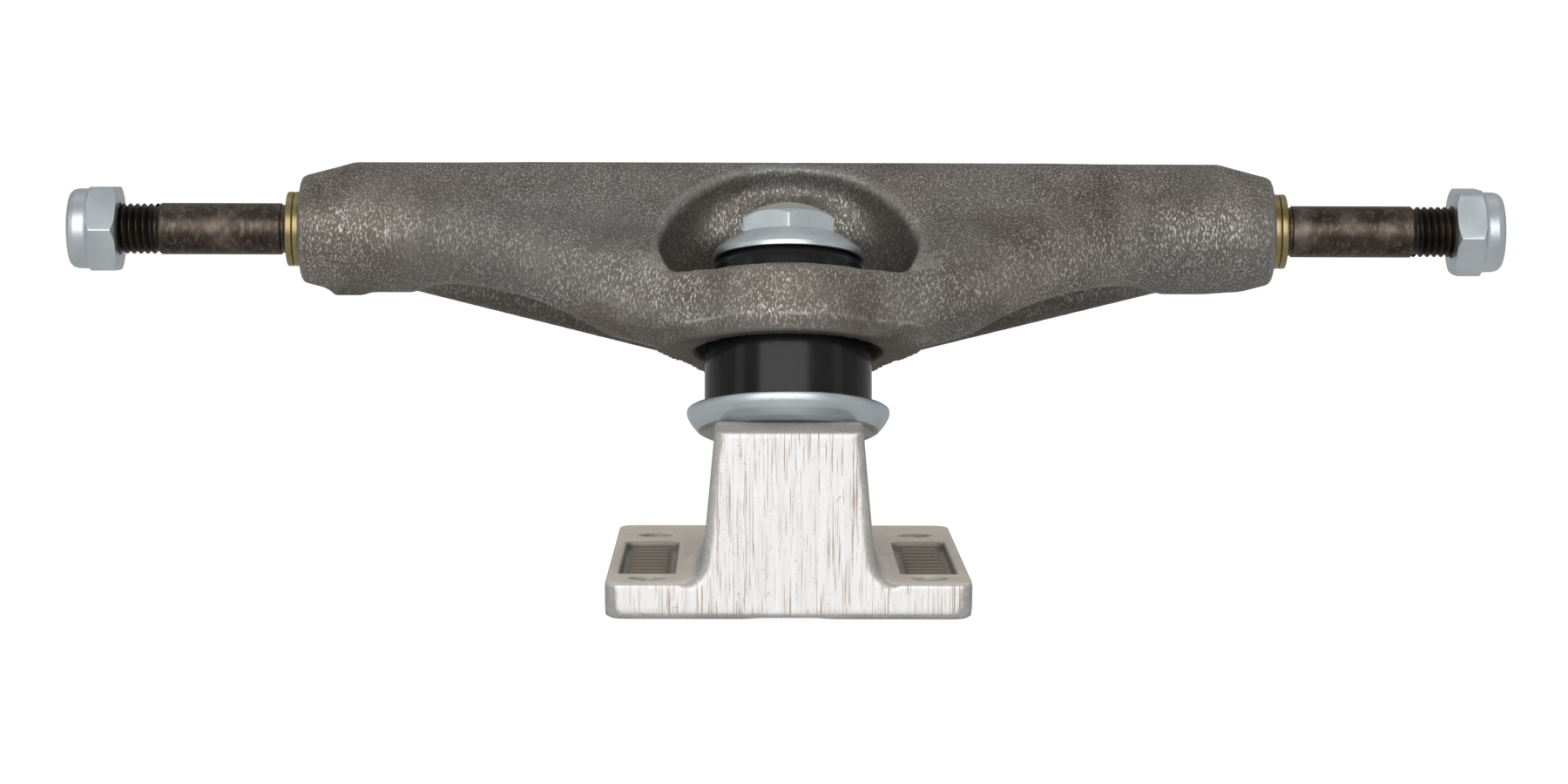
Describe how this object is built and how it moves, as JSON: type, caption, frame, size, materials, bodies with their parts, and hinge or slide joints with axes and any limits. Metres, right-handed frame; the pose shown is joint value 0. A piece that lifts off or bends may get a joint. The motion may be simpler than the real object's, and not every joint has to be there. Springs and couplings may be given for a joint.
{
  "type": "skateboard truck",
  "caption": "Skateboard truck with a cast hanger on a baseplate: it leans on urethane bushings round a kingpin and carries a threaded axle for wheels.",
  "frame": {"origin": "middle of the baseplate's underside, where it meets the deck", "axes": "+X along the axle, +Y from the kingpin to the pivot, +Z from the deck to the axle"},
  "size_m": [0.2208, 0.074, 0.0655],
  "materials": {
    "cast_hanger": "raw tumbled casting",
    "cast_base": "cast, ground front face",
    "dark_steel": "oiled dark steel",
    "zinc": "bright zinc plating",
    "yellow_zinc": "yellow zinc plating",
    "urethane_black": "glossy black",
    "nylon": "white nylon"
  },
  "bodies": {
    "base": {"baseplate": "cast_base", "pivot_cup": "urethane_black", "kingpin_nut": "zinc", "kingpin_nut_insert": "nylon", "bottom_washer": "zinc", "bottom_bushing": "urethane_black", "top_bushing": "urethane_black"},
    "top_cup": {"top_washer": "zinc"},
    "kingpin_bolt": {"kingpin": "zinc"},
    "hanger_body": {"hanger": "cast_hanger", "axle": "dark_steel"},
    "speed_ring_left_inner_body": {"speed_ring_left_inner": "yellow_zinc"},
    "speed_ring_left_outer_body": {"speed_ring_left_outer": "yellow_zinc"},
    "axle_nut_left_body": {"axle_nut_left": "zinc"},
    "axle_nut_insert_left_body": {"axle_nut_insert_left": "nylon"},
    "speed_ring_right_inner_body": {"speed_ring_right_inner": "yellow_zinc"},
    "speed_ring_right_outer_body": {"speed_ring_right_outer": "yellow_zinc"},
    "axle_nut_right_body": {"axle_nut_right": "zinc"},
    "axle_nut_insert_right_body": {"axle_nut_insert_right": "nylon"}
  },
  "joints": [
    {"name": "hanger_steer", "type": "hinge", "parent": "base", "child": "hanger_body", "pos_m": [0, 0.022, 0.014], "axis": [0, -0.8054, 0.5928], "range_deg": [-12, 12], "stiffness_Nm_per_rad": 30, "deforming": ["bottom_bushing", "top_bushing"]},
    {"name": "top_cup_lift", "type": "slide", "parent": "base", "child": "top_cup", "axis": [0, 0.2672, 0.9636], "range_m": [-0.00053, 0.00212]},
    {"name": "kingpin_turn", "type": "hinge", "parent": "top_cup", "child": "kingpin_bolt", "pos_m": [0, -0.0285, 0], "axis": [0, 0.2672, 0.9636], "range_deg": [-181, 721]},
    {"name": "speed_ring_left_inner_slide", "type": "slide", "parent": "hanger_body", "child": "speed_ring_left_inner_body", "axis": [-1, 0, 0], "range_m": [0, 0.0095]},
    {"name": "speed_ring_left_outer_slide", "type": "slide", "parent": "speed_ring_left_inner_body", "child": "speed_ring_left_outer_body", "axis": [-1, 0, 0], "range_m": [0, 0.0095]},
    {"name": "axle_nut_left_travel", "type": "slide", "parent": "hanger_body", "child": "axle_nut_insert_left_body", "axis": [-1, 0, 0], "range_m": [-0.0053, 0.036]},
    {"name": "axle_nut_left_turn", "type": "hinge", "parent": "axle_nut_insert_left_body", "child": "axle_nut_left_body", "pos_m": [-0.1028, 0.0046, 0.055], "axis": [-1, 0, 0], "range_deg": [-1800, 12240]},
    {"name": "speed_ring_right_inner_slide", "type": "slide", "parent": "hanger_body", "child": "speed_ring_right_inner_body", "axis": [1, 0, 0], "range_m": [0, 0.0095]},
    {"name": "speed_ring_right_outer_slide", "type": "slide", "parent": "speed_ring_right_inner_body", "child": "speed_ring_right_outer_body", "axis": [1, 0, 0], "range_m": [0, 0.0095]},
    {"name": "axle_nut_right_travel", "type": "slide", "parent": "hanger_body", "child": "axle_nut_insert_right_body", "axis": [1, 0, 0], "range_m": [-0.0053, 0.036]},
    {"name": "axle_nut_right_turn", "type": "hinge", "parent": "axle_nut_insert_right_body", "child": "axle_nut_right_body", "pos_m": [0.1028, 0.0046, 0.055], "axis": [1, 0, 0], "range_deg": [-1800, 12240]}
  ],
  "couplings": [
    {"joint": "kingpin_turn", "follows": "top_cup_lift", "rad_per_m": 5937.1},
    {"joint": "axle_nut_left_travel", "follows": "axle_nut_left_turn", "m_per_rad": 0.00016843},
    {"joint": "axle_nut_right_travel", "follows": "axle_nut_right_turn", "m_per_rad": 0.00016843}
  ]
}
